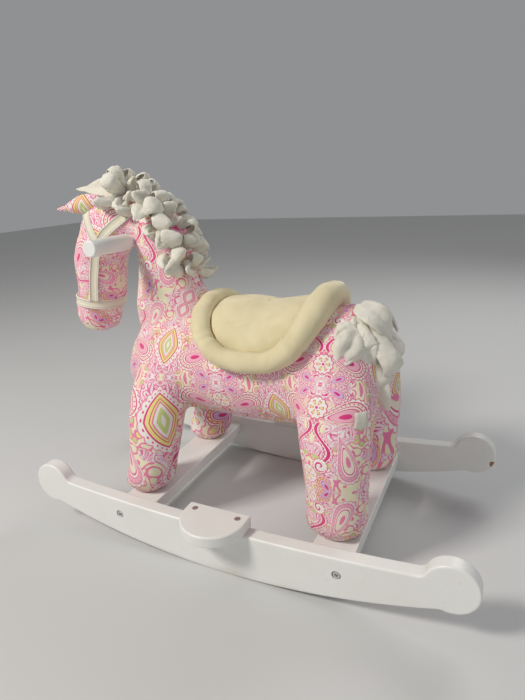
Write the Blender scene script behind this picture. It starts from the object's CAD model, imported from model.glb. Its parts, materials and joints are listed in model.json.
"""Looks of the stuffed rocking horse: printed body, velour saddle, cloth mane and tail, painted wood."""
import json
import math
import random

import bmesh
import bpy
import numpy as np
from mathutils import Matrix, Vector, noise
from mathutils.bvhtree import BVHTree
from mathutils.kdtree import KDTree


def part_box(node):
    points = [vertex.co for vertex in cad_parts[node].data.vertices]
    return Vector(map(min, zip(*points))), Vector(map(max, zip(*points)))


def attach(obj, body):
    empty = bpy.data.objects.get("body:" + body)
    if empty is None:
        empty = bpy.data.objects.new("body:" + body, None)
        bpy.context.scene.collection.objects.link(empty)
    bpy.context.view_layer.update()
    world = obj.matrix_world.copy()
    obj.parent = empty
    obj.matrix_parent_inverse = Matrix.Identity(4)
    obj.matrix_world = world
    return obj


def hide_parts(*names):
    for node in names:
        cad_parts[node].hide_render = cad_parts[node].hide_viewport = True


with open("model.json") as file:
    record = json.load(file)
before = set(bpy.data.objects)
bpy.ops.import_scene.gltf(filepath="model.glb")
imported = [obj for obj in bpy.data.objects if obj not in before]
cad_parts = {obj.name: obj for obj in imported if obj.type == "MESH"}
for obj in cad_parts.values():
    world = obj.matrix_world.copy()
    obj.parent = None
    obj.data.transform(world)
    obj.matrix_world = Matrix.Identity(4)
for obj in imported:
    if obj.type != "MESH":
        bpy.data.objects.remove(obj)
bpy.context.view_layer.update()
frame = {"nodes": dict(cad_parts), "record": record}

nodes = frame["nodes"]
LEFT, RIGHT = -1, 1
TAU = 2 * math.pi


# ================================================================ shader expressions
class Value:
    """A shader socket that takes part in Python expressions."""

    def __init__(self, paint, socket):
        self.paint, self.socket = paint, socket

    def math(self, operation, *others):
        return self.paint.math(operation, self, *others)

    def __add__(self, other):
        return self.math("ADD", other)

    def __sub__(self, other):
        return self.math("SUBTRACT", other)

    def __rsub__(self, other):
        return self.paint.math("SUBTRACT", other, self)

    def __mul__(self, other):
        return self.math("MULTIPLY", other)

    def __truediv__(self, other):
        return self.math("DIVIDE", other)

    def __abs__(self):
        return self.math("ABSOLUTE")

    __radd__ = __add__


class Paint:
    """One material and the nodes that make its finish."""

    def __init__(self, name, roughness=0.8, **shader_values):
        self.material = bpy.data.materials.new(name)
        self.material.use_nodes = True
        self.tree = self.material.node_tree
        self.tree.nodes.clear()
        self.output = self.tree.nodes.new("ShaderNodeOutputMaterial")
        self.shader = self.tree.nodes.new("ShaderNodeBsdfPrincipled")
        self.tree.links.new(self.shader.outputs[0], self.output.inputs[0])
        self.shader.inputs["Roughness"].default_value = roughness
        for key, value in shader_values.items():
            self.shader.inputs[key.replace("_", " ")].default_value = value

    def node(self, kind, settings=None, inputs=None, output=0):
        """Adds a node: its settings first, then the values or links of its sockets."""
        made = self.tree.nodes.new(kind)
        for key, value in (settings or {}).items():
            setattr(made, key, value)
        for key, value in (inputs or {}).items():
            self.feed(made.inputs[key], value)
        return Value(self, made.outputs[output])

    def feed(self, socket, value):
        if isinstance(value, Value):
            self.tree.links.new(value.socket, socket)
        elif isinstance(value, (tuple, list)) and socket.type == "RGBA" and len(value) == 3:
            socket.default_value = (*value, 1.0)
        else:
            socket.default_value = value

    def math(self, operation, *values):
        return self.node("ShaderNodeMath", {"operation": operation}, dict(enumerate(values)))

    def sine(self, value):
        return self.math("SINE", value)

    def smooth(self, value, low, high):
        """0 below low and 1 above high, with a soft step between."""
        return self.node(
            "ShaderNodeMapRange",
            {"interpolation_type": "SMOOTHSTEP"},
            {"Value": value, "From Min": low, "From Max": high},
        )

    def band(self, value, centre, half, soft):
        """1 where value is within half of centre."""
        return 1.0 - self.smooth(abs(value - centre), half, half + soft)

    def mix(self, factor, a, b):
        """Colour a turning into colour b."""
        return self.node("ShaderNodeMix", {"data_type": "RGBA"}, {0: factor, 6: a, 7: b}, 2)

    def disc(self, colour, field, low, high, tint):
        """The colour, tinted where field is below low and fading out at high."""
        return self.mix(1.0 - self.smooth(field, low, high), colour, tint)

    def ring(self, colour, field, centre, half, soft, tint):
        """The colour, tinted where field is within half of centre."""
        return self.mix(self.band(field, centre, half, soft), colour, tint)

    def noise(self, place, scale, detail=2.0, distortion=0.0):
        return self.node(
            "ShaderNodeTexNoise",
            None,
            {"Vector": place, "Scale": scale, "Detail": detail, "Distortion": distortion},
            "Fac",
        )

    def place(self):
        return self.node("ShaderNodeTexCoord", None, None, "Object")

    def xyz(self, vector):
        split = self.tree.nodes.new("ShaderNodeSeparateXYZ")
        self.feed(split.inputs[0], vector)
        return [Value(self, split.outputs[n]) for n in range(3)]

    def vector(self, x, y, z=0.0):
        return self.node("ShaderNodeCombineXYZ", None, {0: x, 1: y, 2: z})

    def finish(self, colour=None, roughness=None, height=None, depth=0.0005, strength=1.0):
        if colour is not None:
            self.feed(self.shader.inputs["Base Color"], colour)
        if roughness is not None:
            self.feed(self.shader.inputs["Roughness"], roughness)
        if height is not None:
            bump = self.node(
                "ShaderNodeBump", None, {"Height": height, "Distance": depth, "Strength": strength}
            )
            self.feed(self.shader.inputs["Normal"], bump)
        return self.material


# ================================================================ materials
WHITE = (0.84, 0.79, 0.74)
CREAM = (0.83, 0.74, 0.62)
PALE_CREAM = (0.84, 0.78, 0.56)
HOT_PINK = (0.70, 0.03, 0.21)
ROSE = (0.80, 0.20, 0.38)
PALE_PINK = (0.84, 0.44, 0.54)
PALE_GREEN = (0.55, 0.62, 0.24)
LEMON = (0.80, 0.70, 0.24)
LILAC = (0.66, 0.45, 0.70)


def weave(paint, u, v, threads=2200.0):
    """Height of a plain weave, from crossing threads."""
    warp = paint.sine(u * threads)
    weft = paint.sine(v * threads)
    return warp * weft * 0.5 + 0.5


def drop_field(paint, x, y, centre, size, turn, bend, width):
    """Field of a paisley drop: below 1 inside, and its angle round the drop."""
    c, s = math.cos(math.radians(turn)), math.sin(math.radians(turn))
    dx, dy = x - centre[0], y - centre[1]
    p = (dx * c + dy * s) / size
    q = (dy * c - dx * s) / size
    lift = q + 1.0
    p = p + lift * lift * bend
    taper = paint.math("MAXIMUM", 1.0 - q * 0.9, 0.06) * (width * width)
    field = q * q + p * p / taper
    angle = paint.math("ARCTAN2", p, q + 0.25)
    return field, angle


def paint_drop(paint, colour, x, y, centre, size, turn, bend, width, fill, heart, line, lobes):
    """Draws one scalloped paisley drop over the colour."""
    field, angle = drop_field(paint, x, y, centre, size, turn, bend, width)
    soft = 0.07 / size
    lobe = abs(paint.sine(angle * (lobes / 2)))
    edge = field - lobe * 0.22
    colour = paint.disc(colour, edge, 1.22, 1.22 + 2 * soft, WHITE)
    colour = paint.ring(colour, edge, 1.20, 0.045, soft, line)
    colour = paint.disc(colour, field, 0.98, 0.98 + soft, fill)
    colour = paint.ring(colour, field, 0.97, 0.05, soft, line)
    beads = paint.smooth(paint.sine(angle * lobes), 0.35, 0.6) * paint.band(field, 0.78, 0.05, soft)
    colour = paint.mix(beads, colour, line)
    colour = paint.disc(colour, field, 0.58, 0.58 + soft, WHITE)
    colour = paint.ring(colour, field, 0.57, 0.03, soft, line)
    colour = paint.disc(colour, field, 0.36, 0.36 + soft, heart)
    colour = paint.ring(colour, field, 0.36, 0.025, soft, HOT_PINK)
    return paint.disc(colour, field, 0.05, 0.05 + soft, line)


def paint_scroll(paint, colour, x, y, centre, size, turns, line):
    """Draws a round spiral with a scalloped rim over the colour."""
    dx, dy = x - centre[0], y - centre[1]
    radius = paint.math("SQRT", dx * dx + dy * dy)
    angle = paint.math("ARCTAN2", dy, dx)
    scalloped = radius - abs(paint.sine(angle * 6.0)) * 0.16 * size
    colour = paint.disc(colour, scalloped, size, size * 1.06, WHITE)
    coil = paint.sine(angle + radius * (TAU * turns / size))
    arm = paint.smooth(coil, 0.35, 0.75) * (1.0 - paint.smooth(radius, size * 0.86, size * 0.92))
    colour = paint.mix(arm, colour, line)
    return paint.ring(colour, scalloped, size, size * 0.03, size * 0.05, line)


def paint_flower(paint, colour, x, y, centre, size, petals, line, heart):
    """Draws a round flower medallion with separate petals over the colour."""
    dx, dy = x - centre[0], y - centre[1]
    radius = paint.math("SQRT", dx * dx + dy * dy) / size
    angle = paint.math("ARCTAN2", dy, dx)
    scalloped = radius - abs(paint.sine(angle * petals)) * 0.14
    colour = paint.disc(colour, scalloped, 0.92, 0.98, WHITE)
    colour = paint.ring(colour, scalloped, 0.9, 0.03, 0.04, line)
    leaf = abs(paint.math("COSINE", angle * (petals / 2)))
    petal = paint.smooth(leaf, 0.72, 0.8) * paint.band(radius, 0.48, 0.2, 0.05)
    colour = paint.mix(petal, colour, line)
    inner = paint.smooth(leaf, 0.84, 0.9) * paint.band(radius, 0.48, 0.13, 0.04)
    colour = paint.mix(inner, colour, heart)
    return paint.disc(colour, radius, 0.12, 0.16, line)


PRINT_MIRROR = 9.75  # centimetres between the upright mirror lines of the print
PRINT_REPEAT = 13.5  # centimetres between the level ones


def paint_ogee(paint, colour, x, y, centre, half_width, half_height, fill, heart, line):
    """Draws a pointed medallion in nested rings, with a scalloped white rim."""
    dx, dy = (x - centre[0]) / half_width, (y - centre[1]) / half_height
    tall = abs(dy)
    field = paint.math("SQRT", dx * dx * 0.8 + 0.0004) + tall * tall * 0.6 + tall * 0.4
    angle = paint.math("ARCTAN2", dy, dx)
    lobe = abs(paint.sine(angle * 9.0)) * 0.16
    outer = field - lobe
    colour = paint.disc(colour, outer, 1.42, 1.46, WHITE)
    colour = paint.ring(colour, outer, 1.40, 0.03, 0.03, ROSE)
    beads = paint.smooth(paint.sine(angle * 26.0), 0.3, 0.6) * paint.band(field, 1.22, 0.045, 0.02)
    colour = paint.mix(beads, colour, line)
    colour = paint.disc(colour, field, 1.05, 1.08, line)
    colour = paint.disc(colour, field, 0.94, 0.97, fill)
    colour = paint.ring(colour, field, 0.72, 0.02, 0.02, line)
    colour = paint.disc(colour, field, 0.56, 0.59, WHITE)
    colour = paint.ring(colour, field, 0.55, 0.03, 0.02, ROSE)
    colour = paint.disc(colour, field, 0.34, 0.37, heart)
    return paint.disc(colour, field, 0.12, 0.15, WHITE)


def paint_lyre(paint, colour, x, y, centre, size, line):
    """Draws a pair of curling brackets that open like a lyre about the mirror line."""
    dx, dy = (x - centre[0]) / size, (y - centre[1]) / size
    reach = paint.sine(dy * 2.1 + 0.4) * 0.55 + 0.75
    gap = abs(dx - reach)
    scalloped = gap - abs(paint.sine(dy * 16.0)) * 0.10
    stem = 1.0 - paint.smooth(gap - 0.02, 0.075, 0.12)
    fringe = 1.0 - paint.smooth(scalloped, 0.16, 0.20)
    span = paint.band(dy, 0.0, 1.25, 0.15)
    colour = paint.mix(fringe * span, colour, WHITE)
    edge = paint.band(scalloped, 0.19, 0.02, 0.03)
    colour = paint.mix(edge * span, colour, line)
    return paint.mix(stem * span, colour, line)


PRINT_DROPS = [
    # centre in centimetres, size, turn in degrees, bend, width, fill, heart, line, lobes
    ((4.7, 4.4), 2.7, 35, 0.34, 0.60, CREAM, PALE_PINK, HOT_PINK, 20),
    ((5.6, 9.6), 2.3, 200, -0.34, 0.58, PALE_PINK, CREAM, ROSE, 18),
    ((2.7, 12.6), 1.4, -70, 0.26, 0.56, LEMON, LILAC, HOT_PINK, 12),
    ((2.6, 1.5), 1.5, 80, 0.30, 0.58, WHITE, LILAC, HOT_PINK, 12),
]


def printed_colour(paint, u, v):
    """Paisley print, mirrored about upright and level lines; u and v are metres on the cloth."""
    wide = u * 100.0 + 2.6
    high = v * 100.0 + 2.0
    x = paint.math("PINGPONG", wide, PRINT_MIRROR)
    y = paint.math("PINGPONG", high, PRINT_REPEAT)
    tile = paint.vector(x, y)
    patch = paint.noise(tile, 0.27, 1.0, 0.4)
    cells = {"Vector": tile, "Scale": 0.80, "Randomness": 0.9}
    bloom = paint.node("ShaderNodeTexVoronoi", {"feature": "SMOOTH_F1"}, cells, "Distance")
    warm = paint.smooth(patch, 0.45, 0.50)
    colour = paint.mix(warm, PALE_PINK, ROSE)
    ripple = paint.noise(tile, 0.50, 1.4, 1.3)
    contour = abs(paint.math("FRACT", ripple * 10.0) - 0.5)
    lines = 1.0 - paint.smooth(contour, 0.07, 0.13)
    pale = paint.smooth(contour, 0.24, 0.32)
    colour = paint.mix(pale * (1.0 - warm), colour, WHITE)
    colour = paint.mix(lines * (1.0 - warm), colour, HOT_PINK)
    scale = paint.math("FRACT", bloom * 4.5)
    petal = paint.smooth(abs(scale - 0.5), 0.12, 0.17)
    leafy = paint.mix(paint.smooth(paint.noise(tile, 0.9, 1.0), 0.45, 0.55), LEMON, PALE_GREEN)
    leafy = paint.mix(paint.smooth(bloom, 0.30, 0.36), leafy, PALE_CREAM)
    colour = paint.mix(petal * warm, colour, leafy)
    colour = paint.mix((1.0 - paint.smooth(bloom, 0.10, 0.14)) * warm, colour, PALE_PINK)
    curl = paint.noise(tile, 0.50, 1.0, 2.6)
    coils = paint.band(paint.math("FRACT", curl * 7.0), 0.5, 0.05, 0.04)
    colour = paint.mix(coils * (1.0 - warm) * 0.8, colour, LILAC)
    colour = paint_lyre(paint, colour, x, y, (0.0, 7.6), 1.9, HOT_PINK)
    colour = paint_scroll(paint, colour, x, y, (1.55, 10.3), 0.85, 1.2, HOT_PINK)
    for drop in PRINT_DROPS:
        colour = paint_drop(paint, colour, x, y, *drop)
    colour = paint_ogee(paint, colour, x, y, (PRINT_MIRROR, 5.2), 1.75, 3.1, LEMON, PALE_GREEN, HOT_PINK)
    colour = paint_ogee(paint, colour, x, y, (PRINT_MIRROR, 12.2), 1.0, 1.5, PALE_PINK, WHITE, HOT_PINK)
    colour = paint_flower(paint, colour, x, y, (0.0, 11.9), 1.25, 6, ROSE, LEMON)
    return paint_flower(paint, colour, x, y, (0.0, 3.2), 1.5, 6, HOT_PINK, LEMON)


def printed_cotton():
    paint = Paint("printed_cotton", roughness=0.86, Sheen_Weight=0.15, Sheen_Roughness=0.5)
    uv = paint.node("ShaderNodeUVMap", {"uv_map": "cloth"})
    u, v, _ = paint.xyz(uv)
    colour = printed_colour(paint, u, v)
    place = paint.place()
    soil = paint.noise(place, 9.0, 3.0)
    colour = paint.mix(paint.smooth(soil, 0.35, 0.8) * 0.16, colour, (0.55, 0.42, 0.33))
    threads = weave(paint, u, v)
    crinkle = paint.noise(place, 45.0, 3.0)
    return paint.finish(colour, 0.80 + soil * 0.12, threads * 0.10 + crinkle, depth=0.0022, strength=0.55)


def velour():
    paint = Paint("cream_velour", roughness=0.95, Sheen_Weight=0.55, Sheen_Roughness=0.35)
    paint.shader.inputs["Sheen Tint"].default_value = (1.0, 0.96, 0.86, 1.0)
    place = paint.place()
    nap = paint.noise(place, 22.0, 4.0, 0.6)
    fine = paint.noise(place, 900.0, 2.0)
    grime = paint.smooth(paint.noise(place, 7.0, 2.0), 0.5, 0.72)
    colour = paint.mix(paint.smooth(nap, 0.3, 0.7), (0.62, 0.53, 0.31), (0.72, 0.63, 0.39))
    colour = paint.mix(fine * 0.28, colour, (0.86, 0.80, 0.62))
    colour = paint.mix(grime * 0.22, colour, (0.55, 0.50, 0.38))
    return paint.finish(colour, 0.90 + fine * 0.08, fine * 0.25 + nap, depth=0.0012, strength=0.5)


def calico(name="calico", base=(0.74, 0.71, 0.62), shade=(0.56, 0.53, 0.45)):
    paint = Paint(name, roughness=0.88, Sheen_Weight=0.12)
    place = paint.place()
    x, y, z = paint.xyz(place)
    threads = weave(paint, x + y * 0.7, z - y * 0.5, 2600.0)
    cloud = paint.noise(place, 30.0, 3.0)
    slub = paint.noise(place, 260.0, 2.0)
    creases = paint.noise(place, 110.0, 4.0, 1.2)
    colour = paint.mix(paint.smooth(cloud, 0.35, 0.75) * 0.55, base, shade)
    colour = paint.mix(slub * 0.2, colour, (0.86, 0.84, 0.76))
    return paint.finish(
        colour, 0.84 + cloud * 0.1, threads * 0.15 + creases, depth=0.0022, strength=0.6
    )


def tape():
    paint = Paint("cotton_tape", roughness=0.8, Sheen_Weight=0.15)
    uv = paint.node("ShaderNodeUVMap", {"uv_map": "cloth"})
    u, v, _ = paint.xyz(uv)
    ribs = paint.sine((u + v) * 2600.0) * 0.5 + 0.5
    edge = paint.smooth(abs(v), 0.0052, 0.0060)
    groove = paint.band(abs(v), 0.0052, 0.0002, 0.0005)
    soil = paint.noise(paint.place(), 25.0, 3.0)
    colour = paint.mix(edge, (0.74, 0.70, 0.56), (0.82, 0.79, 0.68))
    colour = paint.mix(groove * 0.6, colour, (0.42, 0.37, 0.27))
    colour = paint.mix(paint.smooth(soil, 0.45, 0.8) * 0.3, colour, (0.55, 0.50, 0.38))
    return paint.finish(colour, 0.78 + soil * 0.1, ribs * 0.15 + edge - groove, depth=0.0005, strength=0.8)


CHIP_PLACE = (0.345, 0.155, 0.066)  # where the paint is knocked off the right rocker's rear knob


def white_paint():
    paint = Paint("white_satin_paint", roughness=0.38, Coat_Weight=0.15, Coat_Roughness=0.3)
    place = paint.place()
    x, y, z = paint.xyz(place)
    brush = paint.noise(paint.vector(x * 0.12, y, z), 420.0, 3.0)
    cloud = paint.noise(place, 11.0, 3.0)
    speck = paint.noise(place, 160.0, 1.0)
    colour = paint.mix(paint.smooth(cloud, 0.3, 0.8) * 0.5, (0.80, 0.80, 0.77), (0.73, 0.72, 0.67))
    colour = paint.mix(paint.smooth(speck, 0.72, 0.78) * 0.15, colour, (0.45, 0.41, 0.34))
    ends = {0: place, 1: CHIP_PLACE}
    far = paint.node("ShaderNodeVectorMath", {"operation": "DISTANCE"}, ends, "Value")
    chip = 1.0 - paint.smooth(far + speck * 0.006, 0.0075, 0.0085)
    colour = paint.mix(chip, colour, (0.30, 0.15, 0.07))
    sole = (1.0 - paint.smooth(z, 0.002, 0.016)) * paint.smooth(cloud, 0.3, 0.6)
    colour = paint.mix(sole * 0.45, colour, (0.50, 0.45, 0.37))
    return paint.finish(
        colour, 0.32 + cloud * 0.18 + sole * 0.3, brush + cloud * 2.0, depth=0.0004, strength=0.5
    )


def bare_wood():
    paint = Paint("birch_plywood", roughness=0.6)
    place = paint.place()
    x, y, z = paint.xyz(place)
    rings = paint.noise(paint.vector(x * 0.1, y, z), 160.0, 4.0, 1.0)
    plies = paint.smooth(paint.sine(y * 1400.0), -0.2, 0.2)
    colour = paint.mix(rings, (0.68, 0.50, 0.30), (0.52, 0.35, 0.18))
    colour = paint.mix(plies * 0.15, colour, (0.36, 0.22, 0.11))
    return paint.finish(colour, 0.5 + rings * 0.25, rings, depth=0.0003)


def zinc():
    paint = Paint("zinc_plated_steel", roughness=0.3, Metallic=1.0)
    place = paint.place()
    patina = paint.noise(place, 500.0, 3.0)
    colour = paint.mix(patina, (0.80, 0.80, 0.78), (0.60, 0.60, 0.58))
    return paint.finish(colour, 0.22 + patina * 0.3, patina, depth=0.0001)


def filling():
    paint = Paint("polyester_filling", roughness=0.95)
    fluff = paint.noise(paint.place(), 120.0, 5.0)
    return paint.finish(
        paint.mix(fluff, (0.78, 0.78, 0.76), (0.9, 0.9, 0.88)), 0.95, fluff, depth=0.002
    )


PRINT = printed_cotton()
VELOUR = velour()
CALICO = calico()
LINING = calico("ear_lining", (0.76, 0.73, 0.62), (0.60, 0.55, 0.45))
TAPE = tape()
PAINTED = white_paint()
PLY = bare_wood()
ZINC = zinc()
FILLING = filling()
FINISH_OF_SLOT = {
    "painted_wood": PAINTED,
    "raw_wood": PLY,
    "print": PRINT,
    "velour": VELOUR,
    "calico": CALICO,
    "tape": TAPE,
    "fibre": FILLING,
    "steel": ZINC,
}
slot_of_node = {part["node"]: part["material_slot"] for part in frame["record"]["subparts"]}
for node_name, node in nodes.items():
    node.data.materials.clear()
    node.data.materials.append(FINISH_OF_SLOT[slot_of_node[node_name]])


# ================================================================ mesh helpers
def new_piece(name, mesh, material=None):
    piece = bpy.data.objects.new(name, mesh)
    bpy.context.scene.collection.objects.link(piece)
    if material:
        mesh.materials.clear()
        mesh.materials.append(material)
    return piece


def mesh_from(name, points, faces):
    mesh = bpy.data.meshes.new(name)
    mesh.from_pydata([tuple(p) for p in points], [], faces)
    mesh.update()
    return mesh


def face_out(mesh):
    """Merges doubles and turns every face outwards."""
    shape = bmesh.new()
    shape.from_mesh(mesh)
    bmesh.ops.remove_doubles(shape, verts=shape.verts, dist=1e-6)
    bmesh.ops.recalc_face_normals(shape, faces=shape.faces)
    shape.to_mesh(mesh)
    shape.free()


def shade_smooth(mesh):
    mesh.polygons.foreach_set("use_smooth", [True] * len(mesh.polygons))


def applied(piece):
    """Bakes the piece's modifiers into its own mesh."""
    graph = bpy.context.evaluated_depsgraph_get()
    mesh = bpy.data.meshes.new_from_object(piece.evaluated_get(graph))
    materials = list(piece.data.materials)
    old = piece.data
    piece.modifiers.clear()
    piece.data = mesh
    mesh.name = piece.name
    mesh.materials.clear()
    for material in materials:
        mesh.materials.append(material)
    bpy.data.meshes.remove(old)
    return piece


def with_modifier(piece, kind, **settings):
    modifier = piece.modifiers.new(kind.lower(), kind)
    for key, value in settings.items():
        setattr(modifier, key, value)
    return applied(piece)


def ring_faces(rings, sides, closed=True):
    """Faces between rings of points; closed joins the last ring to the first."""
    faces = []
    for n in range(rings if closed else rings - 1):
        a, b = n * sides, (n + 1) % rings * sides
        for k in range(sides):
            j = (k + 1) % sides
            faces.append((a + k, a + j, b + j, b + k))
    return faces


def two_sided(rows, wide):
    """Faces of a thin cloth: two layers of points, each of rows by wide, joined along their edges."""
    faces, size = [], rows * wide
    for n in range(rows - 1):
        for k in range(wide - 1):
            a = n * wide + k
            faces.append((a, a + 1, a + wide + 1, a + wide))
            faces.append((size + a, size + a + wide, size + a + wide + 1, size + a + 1))
        for a in (n * wide, n * wide + wide - 1):
            faces.append((a, a + wide, size + a + wide, size + a))
    for n in (0, rows - 1):
        for a in range(n * wide, n * wide + wide - 1):
            faces.append((a, size + a, size + a + 1, a + 1))
    return faces


def vertex_values(mesh, key):
    flat = np.zeros(len(mesh.vertices) * 3)
    mesh.vertices.foreach_get(key, flat)
    return flat.reshape(-1, 3)


def set_coordinates(mesh, places):
    mesh.vertices.foreach_set("co", np.asarray(places, float).ravel())
    mesh.update()


def largest_island(mesh):
    """Keeps the connected part of the mesh that has most vertices."""
    shape = bmesh.new()
    shape.from_mesh(mesh)
    shape.verts.ensure_lookup_table()
    seen, best = set(), []
    for start in shape.verts:
        if start.index in seen:
            continue
        seen.add(start.index)
        island, stack = [], [start]
        while stack:
            vert = stack.pop()
            island.append(vert)
            for edge in vert.link_edges:
                other = edge.other_vert(vert)
                if other.index not in seen:
                    seen.add(other.index)
                    stack.append(other)
        if len(island) > len(best):
            best = island
    keep = {vert.index for vert in best}
    bmesh.ops.delete(shape, geom=[v for v in shape.verts if v.index not in keep], context="VERTS")
    shape.to_mesh(mesh)
    shape.free()


# ================================================================ stuffed body
BODY_VOXEL = 0.006
FRONT_SEAM_Y = 0.097  # the legs' front and back seams
BELLY_SEAM_Z = 0.205
GUSSET_HALF = 0.021  # half the width of the strip down the face
SOLE_TOP = 0.075
HEAD_BACK_X = -0.232
HEAD_LOW_Z = 0.29
SNAP_TO_SEAM = 0.0016  # vertices this near a seam are moved onto it

body_nodes = [n for n in nodes if "cover" in n or "stuffing" in n]
inner_nodes = [n for n in nodes if n.startswith(("leg_post", "spine", "neck_board", "hip", "shoulder"))]


def body_mesh():
    """The outer skin round all of the stuffed solids, with softened joins."""
    shape = bmesh.new()
    for name in body_nodes + inner_nodes:
        shape.from_mesh(nodes[name].data)
    mesh = bpy.data.meshes.new("body_skin")
    shape.to_mesh(mesh)
    shape.free()
    piece = new_piece("body", mesh)
    with_modifier(piece, "REMESH", mode="VOXEL", voxel_size=BODY_VOXEL)
    largest_island(piece.data)
    with_modifier(piece, "SMOOTH", factor=0.5, iterations=14)
    with_modifier(piece, "DISPLACE", strength=0.0014, mid_level=0.0)
    return piece


def panel_of(centre, normal):
    """Which sewn panel a point belongs to: 1 left, 2 right, 3 belly, 4 face, 10 to 13 soles."""
    x, y, z = centre
    if z < SOLE_TOP and normal.z < -0.6:
        return 10 + (x > 0) + 2 * (y > 0)
    if z < BELLY_SEAM_Z and abs(y) < FRONT_SEAM_Y:
        return 3
    on_face = x < HEAD_BACK_X and z > HEAD_LOW_Z and normal.x < 0.35
    if on_face and abs(y) < GUSSET_HALF:
        return 4
    return 1 if y < 0 else 2


def cut_and_mark(mesh):
    """Cuts the skin along its seam planes and marks the seams between panels."""
    shape = bmesh.new()
    shape.from_mesh(mesh)
    sideways, upward = Vector((0, 1, 0)), Vector((0, 0, 1))
    across = (0.0, FRONT_SEAM_Y, -FRONT_SEAM_Y, GUSSET_HALF, -GUSSET_HALF)
    for normal, offset in [(sideways, y) for y in across] + [(upward, BELLY_SEAM_Z)]:
        bmesh.ops.bisect_plane(
            shape,
            geom=shape.verts[:] + shape.edges[:] + shape.faces[:],
            dist=SNAP_TO_SEAM,
            plane_co=normal * offset,
            plane_no=normal,
            use_snap_center=True,
        )
    bmesh.ops.dissolve_degenerate(shape, dist=0.0004, edges=shape.edges)
    shape.normal_update()
    layer = shape.faces.layers.int.new("panel")
    for face in shape.faces:
        face[layer] = panel_of(face.calc_center_median(), face.normal)
    for edge in shape.edges:
        linked = {face[layer] for face in edge.link_faces}
        edge.seam = len(linked) > 1
    shape.to_mesh(mesh)
    shape.free()


def unwrap(piece):
    """Lays every sewn panel flat, at real size and standing the way it hangs on the horse."""
    mesh = piece.data
    mesh.uv_layers.new(name="cloth")
    bpy.context.view_layer.objects.active = piece
    for other in bpy.context.selected_objects:
        other.select_set(False)
    piece.select_set(True)
    bpy.ops.object.mode_set(mode="EDIT")
    bpy.ops.mesh.select_all(action="SELECT")
    bpy.ops.uv.unwrap(method="CONFORMAL", margin=0.0)
    bpy.ops.object.mode_set(mode="OBJECT")
    piece.select_set(False)
    flat = np.zeros(len(mesh.loops) * 2)
    mesh.uv_layers["cloth"].data.foreach_get("uv", flat)
    flat = flat.reshape(-1, 2)
    corner_vertex = np.zeros(len(mesh.loops), int)
    mesh.loops.foreach_get("vertex_index", corner_vertex)
    places = vertex_values(mesh, "co")[corner_vertex]
    panels = np.zeros(len(mesh.polygons), int)
    mesh.attributes["panel"].data.foreach_get("value", panels)
    sizes = np.zeros(len(mesh.polygons), int)
    mesh.polygons.foreach_get("loop_total", sizes)
    loop_panel = np.repeat(panels, sizes)
    axes_of = {1: (0, 2), 2: (0, 2), 3: (0, 1), 4: (1, 2)}  # the axes that a panel's cloth lies along
    for panel in np.unique(panels):
        mine = loop_panel == panel
        target = places[mine][:, axes_of.get(int(panel), (0, 1))]
        source = flat[mine]
        source_mid, target_mid = source.mean(0), target.mean(0)
        a, b = source - source_mid, target - target_mid
        left, _, right = np.linalg.svd(a.T @ b)
        real = laid = 0.0
        for polygon in mesh.polygons:
            if panels[polygon.index] == panel:
                corners = flat[list(polygon.loop_indices)]
                x, y = corners[:, 0], corners[:, 1]
                laid += abs(np.dot(x, np.roll(y, 1)) - np.dot(y, np.roll(x, 1))) / 2
                real += polygon.area
        flat[mine] = (a @ (left @ right)) * math.sqrt(real / laid) + target_mid
    mesh.uv_layers["cloth"].data.foreach_set("uv", flat.ravel())


def seam_points(mesh):
    spots = []
    for edge in mesh.edges:
        if edge.use_seam:
            a, b = (mesh.vertices[i].co for i in edge.vertices)
            spots += [a.copy(), (a + b) / 2]
    return spots


def pull_seams(mesh, spots, depth=0.0022, reach=0.0045):
    """Draws the skin in along its seams, with puckers beside them."""
    tree = KDTree(len(spots))
    for n, spot in enumerate(spots):
        tree.insert(spot, n)
    tree.balance()
    normals, places = vertex_values(mesh, "normal"), vertex_values(mesh, "co")
    for n, place in enumerate(places):
        _, _, gap = tree.find(Vector(place))
        if gap < 5 * reach:
            pull = depth * math.exp(-((gap / reach) ** 2))
            wave = noise.noise(Vector(place) * 160.0) * math.exp(-((gap / (3 * reach)) ** 2))
            places[n] -= normals[n] * (pull + 0.0009 * wave)
        swell = noise.noise(Vector(place) * 26.0) * 0.0012 + noise.noise(Vector(place) * 70.0) * 0.0005
        places[n] += normals[n] * swell
    set_coordinates(mesh, places)


body = body_mesh()
cut_and_mark(body.data)
unwrap(body)
body_seams = seam_points(body.data)
with_modifier(body, "SUBSURF", levels=1, render_levels=1)
pull_seams(body.data, body_seams)
shade_smooth(body.data)
body.data.materials.clear()
body.data.materials.append(PRINT)
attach(body, "horse")
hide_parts(*body_nodes)

skin = bmesh.new()
skin.from_mesh(body.data)
skin_tree = BVHTree.FromBMesh(skin)
skin.free()


# ================================================================ velour saddle
SADDLE_FRONT_X, SADDLE_REAR_X = -0.092, 0.131
SADDLE_GIRTH = 1.42  # half the saddle's reach round the body, in radians
SADDLE_SQUARE = 2.5  # 2 would make the outline an ellipse
AXIS_Z = 0.266  # the barrel's middle height
BACK_LOW, BACK_MIDDLE, BACK_HIGH = 0.080, 0.088, 0.096  # distances from there to the skin
ROLL_SHARE, SEAT_SHARE = 0.87, 0.80  # how far out the roll's middle and the seat's rim lie
UNDERSIDE = -0.004


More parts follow.
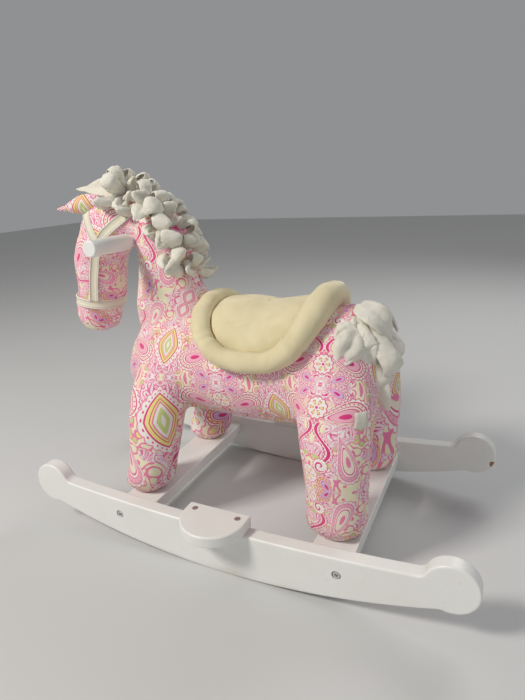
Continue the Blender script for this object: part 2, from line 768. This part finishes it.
def on_back(x, angle, height):
    """Point over the body skin at this angle round it from the top, and the way up from it."""
    start = Vector((x, 0, AXIS_Z))
    way = Vector((0, math.sin(angle), math.cos(angle)))
    reaches = []
    for aside in (-0.06, 0.0, 0.06):  # bridges the groove of the back seam
        hit = skin_tree.ray_cast(start, Vector((0, math.sin(angle + aside), math.cos(angle + aside))))[0]
        reaches.append((hit - start).length if hit else BACK_MIDDLE)
    reach = min(max(*reaches, BACK_LOW), BACK_HIGH)
    return start + way * (reach + height), way


def saddle_place(share, turn, height):
    """Point over the saddle's outline, share 0 at its middle and 1 at its rim."""
    c, s = math.cos(turn), math.sin(turn)
    power = 2 / SADDLE_SQUARE
    half = (SADDLE_REAR_X - SADDLE_FRONT_X) / 2
    x = (SADDLE_FRONT_X + SADDLE_REAR_X) / 2 + share * half * math.copysign(abs(c) ** power, c)
    angle = share * SADDLE_GIRTH * math.copysign(abs(s) ** power, s)
    return on_back(x, angle, height)


def even_turns(count, share):
    """Angles that space points evenly along the saddle's outline."""
    fine = [TAU * n / 720 for n in range(721)]
    spots = [saddle_place(share, turn, 0.0)[0] for turn in fine]
    gone = [0.0]
    for a, b in zip(spots, spots[1:]):
        gone.append(gone[-1] + (b - a).length)
    return [float(np.interp(gone[-1] * n / count, gone, fine)) for n in range(count)]


def ring_tube(name, centres, ups, radii, material, sides):
    """A padded tube round a closed loop of centres; radii are (across, up) at each centre."""
    points, count = [], len(centres)
    for n, centre in enumerate(centres):
        along = (centres[(n + 1) % count] - centres[n - 1]).normalized()
        across = along.cross(ups[n]).normalized()
        rise = across.cross(along).normalized()
        for k in range(sides):
            a = TAU * k / sides
            level = centre + across * (math.cos(a) * radii[n][0])
            points.append(level + rise * (math.sin(a) * radii[n][1]))
    mesh = mesh_from(name, points, ring_faces(count, sides))
    face_out(mesh)
    shade_smooth(mesh)
    return new_piece(name, mesh, material)


def crumple(mesh, scale, depth, fine=0.0):
    """Small soft unevenness, along the normals."""
    normals, places = vertex_values(mesh, "normal"), vertex_values(mesh, "co")
    for n, place in enumerate(places):
        spot = Vector(place)
        lift = noise.noise(spot * scale) * depth + noise.noise(spot * scale * 3.1) * fine
        places[n] += normals[n] * lift
    set_coordinates(mesh, places)


def saddle_roll():
    count = 220
    centres, ups, radii = [], [], []
    for turn in even_turns(count, ROLL_SHARE):
        rear = max(0.0, math.cos(turn)) ** 2
        front = max(0.0, -math.cos(turn)) ** 2
        size = 0.0140 + 0.0055 * rear
        height = 0.0120 + 0.0045 * rear + 0.003 * front
        place, way = saddle_place(ROLL_SHARE - 0.035 * rear, turn, height)
        centres.append(place)
        ups.append(way)
        radii.append((size * 1.06, size * 1.03))
    for _ in range(6):
        centres = [(centres[n - 1] + centres[n] * 2 + centres[(n + 1) % count]) / 4 for n in range(count)]
    seams = (31, 79, 141, 189)  # where along the roll its pieces are joined
    for n in range(count):
        near = min(min(abs(n - seam), count - abs(n - seam)) for seam in seams)
        pinch = 1.0 - 0.10 * math.exp(-((near / 0.9) ** 2))
        radii[n] = (radii[n][0] * pinch, radii[n][1] * pinch)
    roll = ring_tube("saddle_roll", centres, ups, radii, VELOUR, 28)
    crumple(roll.data, 38.0, 0.0014, 0.0005)
    return roll


def saddle_seat():
    rings, spokes = 26, 132
    turns = even_turns(spokes, SEAT_SHARE)
    middle_x = (SADDLE_FRONT_X + SADDLE_REAR_X) / 2
    points = [on_back(middle_x, 0.0, 0.0145)[0]]
    for layer in (1, 0):
        for ring in (range(1, rings + 1) if layer else range(rings, 0, -1)):
            share = ring / rings
            for turn in turns:
                crown = 0.0155 * (1 - share**7) + 0.0035
                dish = 0.007 * (abs(math.cos(turn)) * share) ** 2 * (1 - share**8)
                height = crown + dish if layer else UNDERSIDE
                points.append(saddle_place(share * SEAT_SHARE, turn, height)[0])
    points.append(on_back(middle_x, 0.0, UNDERSIDE)[0])
    faces = [(0, 1 + k, 1 + (k + 1) % spokes) for k in range(spokes)]
    for ring in range(2 * rings - 1):
        a, b = 1 + ring * spokes, 1 + (ring + 1) * spokes
        for k in range(spokes):
            j = (k + 1) % spokes
            faces.append((a + k, b + k, b + j, a + j))
    a = 1 + (2 * rings - 1) * spokes
    faces += [(a + (k + 1) % spokes, a + k, len(points) - 1) for k in range(spokes)]
    mesh = mesh_from("saddle_seat", points, faces)
    face_out(mesh)
    shade_smooth(mesh)
    crumple(mesh, 24.0, 0.0020, 0.0006)
    return new_piece("saddle_seat", mesh, VELOUR)


roll, seat = saddle_roll(), saddle_seat()
for piece, node_name in ((roll, "saddle_bolster"), (seat, "saddle_pad")):
    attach(piece, "horse")
    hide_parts(node_name)


# ================================================================ cloth loops of mane and tail
def leaf_shape(name, width=0.5, thick=0.16, crease=0.6, bend=0.12, seed=0):
    """A stuffed cloth leaf, one unit long from its root, creased down its middle."""
    chance = random.Random(seed)
    along, sides = 18, 26
    twist = chance.uniform(-0.35, 0.35)
    points = []
    for n in range(1, along):
        t = n / along
        full = math.sin(math.pi * t ** 0.74) ** 0.72
        half_width, half_thick = width / 2 * full, thick / 2 * full ** 0.8
        lift = bend * math.sin(math.pi * t)
        turn = twist * t
        for k in range(sides):
            a = TAU * k / sides
            across, up = math.cos(a), math.sin(a)
            dent = 1 - crease * math.exp(-((across / 0.24) ** 2)) * math.sin(math.pi * t) ** 0.5
            gathers = 0.10 * math.sin(5 * a + seed * 1.9) * (1 - t)
            fold = 1 + gathers + 0.05 * math.sin(9 * a + seed) * math.sin(math.pi * t)
            y, z = across * half_width * fold, up * half_thick * dent * fold
            y, z = y * math.cos(turn) - z * math.sin(turn), y * math.sin(turn) + z * math.cos(turn)
            points.append((t, y, z + lift))
    points += [(0.0, 0.0, 0.0), (1.0, 0.0, 0.0)]
    faces = ring_faces(along - 1, sides, closed=False)
    start, end = len(points) - 2, len(points) - 1
    for k in range(sides):
        j = (k + 1) % sides
        faces.append((start, j, k))
        faces.append((end, (along - 2) * sides + k, (along - 2) * sides + j))
    mesh = mesh_from(name, points, faces)
    face_out(mesh)
    shade_smooth(mesh)
    for vert in mesh.vertices:
        spot = vert.co * 5.0 + Vector((seed * 3.7, 0, 0))
        vert.co += vert.normal * (noise.noise(spot) * 0.020 + noise.noise(spot * 2.6) * 0.008)
    return mesh


def loop_shape(name, width=0.46, height=0.34, cloth=0.045, seed=0):
    """A band of cloth folded round into an open loop, one unit long, both ends sewn at its root."""
    chance = random.Random(seed + 50)
    count, across = 40, 6
    lean = chance.uniform(-0.25, 0.25)
    line, outs = [], []
    for n in range(count + 1):
        t = n / count
        a = math.pi * (2 * t - 1)
        x = (1 + math.cos(a)) / 2
        z = height / 2 * math.sin(a) * (0.35 + 0.65 * x) - lean * x * (1 - x)
        line.append(Vector((x, 0, z)))
    for n in range(count + 1):
        way = (line[min(n + 1, count)] - line[max(n - 1, 0)]).normalized()
        outs.append(Vector((way.z, 0, -way.x)))
    points, rows = [], across + 1
    for face in (1, -1):
        for n in range(count + 1):
            x = line[n].x
            half = width / 2 * (0.45 + 0.55 * x ** 0.6)
            for k in range(rows):
                v = 2 * k / across - 1
                sag = 0.05 * (1 - v * v)
                wave = 0.02 * noise.noise(Vector((x * 4, v * 2, seed + 0.5)))
                p = line[n] + outs[n] * (face * cloth / 2 * (1 if abs(v) < 0.99 else 0.5) + sag + wave)
                points.append(p + Vector((0, v * half, 0)))
    mesh = mesh_from(name, points, two_sided(count + 1, rows))
    face_out(mesh)
    shade_smooth(mesh)
    return mesh


def petal_kinds():
    return [
        leaf_shape("leaf_a", 0.58, 0.22, 0.75, 0.12, 1),
        leaf_shape("leaf_b", 0.50, 0.26, 0.80, -0.10, 2),
        leaf_shape("leaf_c", 0.62, 0.18, 0.60, 0.20, 3),
        loop_shape("loop_a", 0.46, 0.36, 0.05, 1),
        loop_shape("loop_b", 0.54, 0.30, 0.05, 2),
    ]


def scatter_tree(kinds, material):
    """Geometry nodes that put a petal on every point, of the kind, turn and size in its attributes."""
    tree = bpy.data.node_groups.new("petals_on_points", "GeometryNodeTree")
    tree.interface.new_socket("Geometry", in_out="INPUT", socket_type="NodeSocketGeometry")
    tree.interface.new_socket("Size", in_out="INPUT", socket_type="NodeSocketFloat")
    tree.interface.new_socket("Geometry", in_out="OUTPUT", socket_type="NodeSocketGeometry")
    add, link = tree.nodes.new, tree.links.new
    source, result = add("NodeGroupInput"), add("NodeGroupOutput")
    bunch = add("GeometryNodeGeometryToInstance")
    for kind in reversed(kinds):
        info = add("GeometryNodeObjectInfo")
        info.inputs["Object"].default_value = kind
        link(info.outputs["Geometry"], bunch.inputs[0])
    place = add("GeometryNodeInstanceOnPoints")
    place.inputs["Pick Instance"].default_value = True
    named = {}
    for name, kind in (("kind", "INT"), ("turn", "FLOAT_VECTOR"), ("size", "FLOAT_VECTOR")):
        named[name] = add("GeometryNodeInputNamedAttribute")
        named[name].data_type = kind
        named[name].inputs["Name"].default_value = name
    scale = add("ShaderNodeVectorMath")
    scale.operation = "SCALE"
    link(named["size"].outputs[0], scale.inputs[0])
    link(source.outputs["Size"], scale.inputs["Scale"])
    link(source.outputs["Geometry"], place.inputs["Points"])
    link(bunch.outputs[0], place.inputs["Instance"])
    link(named["kind"].outputs[0], place.inputs["Instance Index"])
    link(named["turn"].outputs[0], place.inputs["Rotation"])
    link(scale.outputs[0], place.inputs["Scale"])
    real, finish = add("GeometryNodeRealizeInstances"), add("GeometryNodeSetMaterial")
    finish.inputs["Material"].default_value = material
    link(place.outputs[0], real.inputs[0])
    link(real.outputs[0], finish.inputs[0])
    link(finish.outputs[0], result.inputs[0])
    return tree


def petals(name, placed, material, size=1.0):
    """One mesh of petals. placed holds (root, way, face, length, width, thickness, kind) for each."""
    kinds = [bpy.data.objects.new(mesh.name, mesh) for mesh in petal_kinds()]
    for kind in kinds:
        bpy.context.scene.collection.objects.link(kind)
    mesh = mesh_from(name, [p[0] for p in placed], [])
    for attribute, sort in (("turn", "FLOAT_VECTOR"), ("size", "FLOAT_VECTOR"), ("kind", "INT")):
        mesh.attributes.new(attribute, sort, "POINT")
    turn, scale, which = (mesh.attributes[a] for a in ("turn", "size", "kind"))
    for n, (_, way, face, length, width, thick, kind) in enumerate(placed):
        x = Vector(way).normalized()
        y = Vector(face).cross(x).normalized()
        z = x.cross(y).normalized()
        turn.data[n].vector = Matrix((x, y, z)).transposed().to_euler()
        scale.data[n].vector = (length, length * width, length * thick)
        which.data[n].value = kind
    piece = new_piece(name, mesh)
    modifier = piece.modifiers.new("petals", "NODES")
    modifier.node_group = scatter_tree(kinds, material)
    for item in modifier.node_group.interface.items_tree:
        if item.in_out == "INPUT" and item.name == "Size":
            modifier[item.identifier] = size
    graph = bpy.context.evaluated_depsgraph_get()
    made = bpy.data.meshes.new_from_object(piece.evaluated_get(graph))
    piece.modifiers.clear()
    piece.data = made
    made.name = name
    for kind in kinds:
        bpy.data.objects.remove(kind)
    made.materials.clear()
    made.materials.append(material)
    shade_smooth(made)
    crumple(made, 120.0, 0.0017, 0.0008)
    return piece


CREST = [
    (-0.240, 0.540), (-0.214, 0.536), (-0.190, 0.520), (-0.166, 0.506), (-0.147, 0.485), (-0.133, 0.460),
    (-0.123, 0.432), (-0.112, 0.405),
]


def crest_at(share):
    """Point of the crest line at this share of its length, the way along it and the way out of it."""
    spots = [Vector((x, 0, z)) for x, z in CREST]
    place = share * (len(spots) - 1)
    n = min(int(place), len(spots) - 2)
    here = spots[n].lerp(spots[n + 1], place - n)
    along = (spots[n + 1] - spots[n]).normalized()
    return here, along, Vector((along.z, 0, -along.x))


MANE_ROWS = [
    # angle from upright, distance from the crest line, sink, length, fall, count
    (0.25, 0.004, 0.006, 0.036, 0.00, 8),
    (0.85, 0.012, 0.008, 0.042, 0.15, 8),
    (1.30, 0.019, 0.010, 0.046, 0.40, 8),
]


def mane_side(side):
    chance = random.Random(7 if side < 0 else 12)
    placed = []
    for row, (spread, offset, sink, length, fall, count) in enumerate(MANE_ROWS):
        for n in range(count):
            share = (n + 0.30 + 0.4 * (row % 2) + chance.uniform(-0.12, 0.12)) / count
            here, along, out = crest_at(min(max(share, 0.02), 1.0))
            if out.x < 0:
                out = -out
            sideways = Vector((0, side, 0))
            way = sideways * math.sin(spread) + out * math.cos(spread) + Vector((0, 0, -fall))
            way = way + along * chance.uniform(-0.35, 0.35)
            root = here + sideways * offset - out * sink
            face = (out * 0.75 + sideways * (0.35 + 0.25 * row)) if row else along + sideways * 0.4
            face = face + along * chance.uniform(-0.45, 0.45)
            kind = chance.choice((3, 4, 0, 1)) if row < 2 else chance.choice((0, 1, 2, 0, 1))
            size = length * chance.uniform(0.88, 1.10)
            width, thick = chance.uniform(1.15, 1.4), chance.uniform(1.3, 1.7)
            placed.append((root, way, face, size, width, thick, kind))
    return placed


def forelock_petals():
    chance = random.Random(3)
    placed = []
    for n, kind in enumerate((3, 1, 4, 0, 3)):
        y = -0.016 + 0.0045 * n
        way = Vector((-0.35 + chance.uniform(-0.2, 0.2), y * 30, 1.0))
        placed.append(((-0.243, y, 0.533), way, (-1, 0.4 * (n % 2), 0.2), 0.026, 0.85, 1.3, kind))
    return placed


manes = {
    "mane_left": (mane_side(LEFT), ("mane_loops_left", "mane_tape")),
    "mane_right": (mane_side(RIGHT), ("mane_loops_right", "mane_tape")),
    "forelock_loops": (forelock_petals(), ("forelock",)),
}
for piece_name, (placed, node_names) in manes.items():
    piece = petals(piece_name, placed, CALICO)
    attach(piece, "horse")
    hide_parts(*node_names)

TAIL_PETALS = [
    # root, tip, face, width, thickness, kind
    ((0.154, -0.010, 0.370), (0.206, -0.018, 0.322), (0.5, -0.3, 0.8), 1.30, 1.0, 2),
    ((0.156, 0.012, 0.369), (0.208, 0.014, 0.328), (0.5, 0.3, 0.8), 1.10, 0.9, 2),
    ((0.167, -0.042, 0.343), (0.146, -0.076, 0.297), (0.3, -1.0, 0.3), 1.20, 1.3, 0),
    ((0.166, -0.042, 0.346), (0.142, -0.070, 0.338), (0.2, -1.0, 0.5), 2.00, 1.6, 1),
    ((0.168, -0.042, 0.341), (0.160, -0.078, 0.304), (0.4, -1.0, 0.2), 1.20, 1.3, 1),
    ((0.169, -0.036, 0.342), (0.187, -0.044, 0.288), (0.5, -1.0, 0.1), 1.10, 1.5, 0),
    ((0.174, -0.028, 0.345), (0.211, -0.028, 0.286), (0.6, -0.8, 0.3), 1.05, 1.3, 3),
    ((0.171, -0.032, 0.338), (0.199, -0.034, 0.268), (0.6, -0.9, 0.1), 0.85, 1.1, 4),
    ((0.173, -0.014, 0.348), (0.215, -0.006, 0.302), (0.8, -0.3, 0.5), 1.20, 1.2, 4),
    ((0.173, 0.006, 0.345), (0.210, 0.012, 0.280), (0.9, 0.3, 0.2), 1.10, 1.2, 0),
    ((0.169, 0.016, 0.350), (0.194, 0.028, 0.298), (0.6, 0.9, 0.2), 1.10, 1.2, 1),
    ((0.168, -0.036, 0.350), (0.184, -0.050, 0.324), (0.4, -1.0, 0.5), 1.40, 1.5, 4),
    ((0.160, -0.030, 0.360), (0.176, -0.052, 0.336), (0.5, -0.8, 0.7), 1.30, 1.2, 1),
]


def tail_piece():
    placed = []
    for root, tip, face, width, thick, kind in TAIL_PETALS:
        way = Vector(tip) - Vector(root)
        placed.append((root, way, face, way.length, width, thick, kind))
    return petals("tail_bunch", placed, CALICO)


def ribbon_end():
    """The tail's longest end, a flat cloth point hanging below the loops."""
    line = [
        (0.182, -0.034, 0.302),
        (0.190, -0.037, 0.284),
        (0.197, -0.038, 0.264),
        (0.203, -0.036, 0.244),
        (0.209, -0.034, 0.227),
    ]
    widths = [0.016, 0.026, 0.028, 0.020, 0.003]
    across = (-1, -0.4, 0.4, 1)
    points, cloth = [], 0.0016
    for face in (1, -1):
        for (x, y, z), width in zip(line, widths):
            for v in across:
                hollow = 0.0022 * (1 - v * v)
                points.append((x + v * width / 2, y - hollow + face * cloth / 2, z + v * 0.002))
    mesh = mesh_from("tail_point", points, two_sided(len(line), len(across)))
    face_out(mesh)
    piece = with_modifier(new_piece("tail_point", mesh, CALICO), "SUBSURF", levels=2, render_levels=2)
    shade_smooth(piece.data)
    return piece


tail, point = tail_piece(), ribbon_end()
for piece, node_names in ((tail, ("tail_loops", "tail_side_loop")), (point, ("tail_ribbon",))):
    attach(piece, "tail")
    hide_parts(*node_names)


# ================================================================ ears
EAR_FOOT = {LEFT: (-0.260, -0.027, 0.518), RIGHT: (-0.259, 0.025, 0.541)}
EAR_DROOP = {LEFT: 5.0, RIGHT: 0.0}  # degrees below level
EAR_SWING = {LEFT: -0.12, RIGHT: -0.17}  # how far the tip points to the left
EAR_LENGTH, EAR_HALF_WIDTH, EAR_POINT = 0.088, 0.0155, 0.0006
EAR_DISH, EAR_STUFFED, EAR_BEND = 0.0075, 0.0030, 0.004  # hollow across, thickness, sag along


def ear_shell(name, side, inner, material):
    """One layer of a cupped ear: its printed back, or its pale lining."""
    droop = math.radians(EAR_DROOP[side])
    root = Vector(EAR_FOOT[side])
    tip_way = Vector((-math.cos(droop), EAR_SWING[side], -math.sin(droop))).normalized()
    inward = Vector((-0.25, -side * 0.75, 0.35))
    inward = (inward - tip_way * inward.dot(tip_way)).normalized()
    across = tip_way.cross(inward).normalized()
    along, wide = 22, 13
    points = []
    for layer in (0, 1):
        for n in range(along + 1):
            t = n / along
            swell = math.sin(math.pi * min(t * 1.15 + 0.12, 1.0)) ** 0.8
            width = EAR_HALF_WIDTH * (0.50 + 0.62 * swell) * (1 - t**3.2) ** 0.7
            width = max(width, EAR_POINT)
            for k in range(wide):
                v = 2 * k / (wide - 1) - 1
                cup = EAR_DISH * (v * v) * math.sin(math.pi * (0.25 + 0.65 * t)) * (width / EAR_HALF_WIDTH)
                middle = EAR_STUFFED * (1 - v**4) * math.sin(math.pi * min(t * 1.02, 1.0)) + 0.0002
                if inner:
                    depth = cup + (0.0002 if layer else middle)
                else:
                    depth = cup - (0.0002 if layer else middle * 1.15)
                bend = inward * (depth - EAR_BEND * math.sin(math.pi * t))
                points.append(root + (tip_way * (t * EAR_LENGTH) + across * (v * width) + bend))
    mesh = mesh_from(name, points, two_sided(along + 1, wide))
    layer = mesh.uv_layers.new(name="cloth")
    for loop in mesh.loops:
        spot = mesh.vertices[loop.vertex_index].co
        layer.data[loop.index].uv = (spot.x - 0.028, spot.z + spot.y * 0.5 - 0.02)
    face_out(mesh)
    shade_smooth(mesh)
    crumple(mesh, 90.0, 0.0007)
    return new_piece(name, mesh, material)


for side, word in ((LEFT, "left"), (RIGHT, "right")):
    back = ear_shell(f"ear_back_{word}", side, False, PRINT)
    lining = ear_shell(f"ear_lining_{word}", side, True, LINING)
    for piece, slot in ((back, "print"), (lining, "calico")):
        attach(piece, f"{word}_ear")
        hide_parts(f"ear_{word}")


# ================================================================ bridle tapes
STRAP_HALF, STRAP_THICK, STRAP_LIFT = 0.0075, 0.0018, 0.0012
STRAP_PROFILE = [  # across and up, in half widths and thicknesses: the sewn edges stand higher
    (-1.0, 0.0), (-1.0, 1.0), (-0.86, 1.35), (-0.70, 0.8),
    (0.70, 0.8), (0.86, 1.35), (1.0, 1.0), (1.0, 0.0),
]
BROW_OPEN = 0.62  # radians each way from the jaw, where the brow band is left open
CHEEK_LINE = ((-0.188, 0.510), (-0.255, 0.469), (-0.281, 0.430), (-0.296, 0.357))


def strap(name, centres, ups, closed, node_name):
    """A flat tape with a thicker sewn edge, lying along centres."""
    points, lengths = [], [0.0]
    count, wide = len(centres), len(STRAP_PROFILE)
    for n, centre in enumerate(centres):
        ahead = centres[(n + 1) % count] if closed else centres[min(n + 1, count - 1)]
        behind = centres[n - 1] if closed else centres[max(n - 1, 0)]
        along = (ahead - behind).normalized()
        across = along.cross(ups[n]).normalized()
        rise = across.cross(along).normalized()
        if n:
            lengths.append(lengths[-1] + (centre - centres[n - 1]).length)
        for v, h in STRAP_PROFILE:
            points.append(centre + across * (v * STRAP_HALF) + rise * (h * STRAP_THICK))
    faces = ring_faces(count, wide, closed)
    if not closed:
        faces.append(tuple(range(wide)))
        faces.append(tuple(range((count - 1) * wide, count * wide)))
    mesh = mesh_from(name, points, faces)
    layer = mesh.uv_layers.new(name="cloth")
    for loop in mesh.loops:
        n, k = divmod(loop.vertex_index, wide)
        layer.data[loop.index].uv = (lengths[n], STRAP_PROFILE[k][0] * STRAP_HALF)
    face_out(mesh)
    shade_smooth(mesh)
    piece = new_piece(name, mesh, TAPE)
    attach(piece, "horse")
    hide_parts(node_name)
    return piece


def eased(values, rounds, closed):
    """The values with each drawn towards its neighbours, round after round; open ends stay."""
    count = len(values)
    for _ in range(rounds):
        inner = range(count) if closed else range(1, count - 1)
        new = list(values)
        for n in inner:
            new[n] = (values[n - 1] + values[n] * 2 + values[(n + 1) % count]) / 4
        values = new
    return values


def band_round(top, low, start=0.0, end=TAU):
    """Centres of a tape that goes round the head in the slanting plane through two points of its side."""
    a, b = Vector((top[0], 0, top[1])), Vector((low[0], 0, low[1]))
    middle, slope = (a + b) / 2, (b - a).normalized()
    centres, ups = [], []
    for n in range(96):
        turn = start + (end - start) * n / 96
        way = slope * math.cos(turn) + Vector((0, 1, 0)) * math.sin(turn)
        hit = skin_tree.ray_cast(middle, way)[0] or middle + way * 0.04
        centres.append(hit)
        ups.append(way)
    centres = eased(centres, 5, end - start > TAU - 0.1)
    return [c + w * STRAP_LIFT for c, w in zip(centres, ups)], ups


def cheek_line(side):
    """Centres of the tape from the poll, down one cheek, to the nose band."""
    spots = [Vector((x, 0, z)) for x, z in CHEEK_LINE]
    fine = []
    for n in range(60):
        place = n / 59 * (len(spots) - 1)
        k = min(int(place), len(spots) - 2)
        fine.append(spots[k].lerp(spots[k + 1], place - k))
    fine = eased(fine, 30, False)
    centres, ups = [], []
    for spot in fine:
        start = spot + Vector((0, side * 0.14, 0))
        hit, normal, _, _ = skin_tree.ray_cast(start, Vector((0, -side, 0)))
        centres.append(hit if hit else spot + Vector((0, side * 0.035, 0)))
        ups.append(normal if hit else Vector((0, side, 0)))
    centres, ups = eased(centres, 6, False), eased(ups, 10, False)
    ups = [up.normalized() for up in ups]
    return [c + u * STRAP_LIFT for c, u in zip(centres, ups)], ups


nose_line = band_round((-0.378, 0.362), (-0.250, 0.346))
brow_line = band_round((-0.316, 0.550), (-0.267, 0.457), BROW_OPEN, TAU - BROW_OPEN)
strap("nose_band", *nose_line, True, "bridle_nose_band")
strap("brow_band", *brow_line, False, "bridle_brow_band")
for side, word in ((LEFT, "left"), (RIGHT, "right")):
    strap(f"cheek_strap_{word}", *cheek_line(side), False, f"bridle_cheek_{word}")


# ================================================================ care label, left blank
LABEL_HALF_WIDTH, LABEL_HEIGHT, LABEL_CLOTH, LABEL_CURL = 0.009, 0.024, 0.0007, 0.0016


def label():
    low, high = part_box("care_label")
    middle = (low + high) / 2
    out = Vector((0.65, -0.76, 0)).normalized()
    across = Vector((0, 0, 1)).cross(out).normalized()
    rows, columns = 8, (-1, -0.5, 0, 0.5, 1)
    points = []
    for face in (1, -1):
        for n in range(rows + 1):
            t = n / rows
            drop = Vector((0, 0, LABEL_HEIGHT / 2 - LABEL_HEIGHT * t))
            for v in columns:
                curl = LABEL_CURL * math.sin(math.pi * t * 1.2) + LABEL_CURL / 2 * v * t
                here = middle + across * (v * LABEL_HALF_WIDTH) + drop
                points.append(here + out * (curl - LABEL_CURL / 2 + face * LABEL_CLOTH / 2))
    mesh = mesh_from("blank_label", points, two_sided(rows + 1, len(columns)))
    face_out(mesh)
    shade_smooth(mesh)
    piece = new_piece("blank_label", mesh, CALICO)
    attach(piece, "horse")
    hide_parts("care_label")


label()

# ================================================================ camera, floor and light
scene = bpy.context.scene
scene.view_settings.view_transform = "Standard"
CAMERA_PLACE, CAMERA_LENS = (0.3458, -0.6981, 0.5448), 26.7
CAMERA_TURNS = (26.26, 18.4, -3.03)  # degrees: from the left side towards the tail, raised, rolled
azimuth, elevation, roll_angle = (math.radians(a) for a in CAMERA_TURNS)
level = math.cos(elevation)
back_way = Vector((math.sin(azimuth) * level, -math.cos(azimuth) * level, math.sin(elevation)))
right_way = Vector((math.cos(azimuth), math.sin(azimuth), 0))
up_way = right_way.cross(-back_way)
right_rolled = right_way * math.cos(roll_angle) + up_way * math.sin(roll_angle)
up_rolled = up_way * math.cos(roll_angle) - right_way * math.sin(roll_angle)
camera = bpy.data.objects.new("camera", bpy.data.cameras.new("camera"))
camera.data.sensor_width = 36.0
camera.data.lens = CAMERA_LENS
columns = (right_rolled, up_rolled, back_way, CAMERA_PLACE)
camera.matrix_world = Matrix([[column[i] for column in columns] for i in range(3)] + [[0, 0, 0, 1]])
scene.collection.objects.link(camera)
scene.camera = camera


FLOOR_HALF = 6.0


def floor():
    paint = Paint("pale_floor", roughness=0.6)
    cloud = paint.noise(paint.place(), 3.0, 2.0)
    paint.finish(paint.mix(cloud * 0.3, (0.60, 0.60, 0.595), (0.54, 0.54, 0.535)), 0.6, cloud, depth=0.0002)
    far = FLOOR_HALF
    corners = [(-far, -far, 0), (far, -far, 0), (far, far, 0), (-far, far, 0)]
    new_piece("floor", mesh_from("floor", corners, [(0, 1, 2, 3)]), paint.material)


def softbox(name, place, target, size, power, colour):
    light = bpy.data.objects.new(name, bpy.data.lights.new(name, "AREA"))
    light.data.size = size
    light.data.energy = power
    light.data.color = colour
    light.location = place
    light.rotation_euler = (Vector(target) - Vector(place)).to_track_quat("-Z", "Y").to_euler()
    scene.collection.objects.link(light)


floor()
softbox("key", (-1.1, -1.5, 1.9), (0, 0, 0.25), 0.5, 44, (1.0, 0.96, 0.90))
softbox("fill", (1.6, -1.3, 0.9), (0, 0, 0.25), 1.4, 5, (0.93, 0.96, 1.0))
softbox("back", (0.6, 1.6, 1.6), (0, 0, 0.3), 1.0, 12, (1.0, 1.0, 1.0))
world = bpy.data.worlds.new("studio")
world.use_nodes = True
world.node_tree.nodes["Background"].inputs[0].default_value = (0.93, 0.94, 0.96, 1.0)
world.node_tree.nodes["Background"].inputs[1].default_value = 0.30
scene.world = world
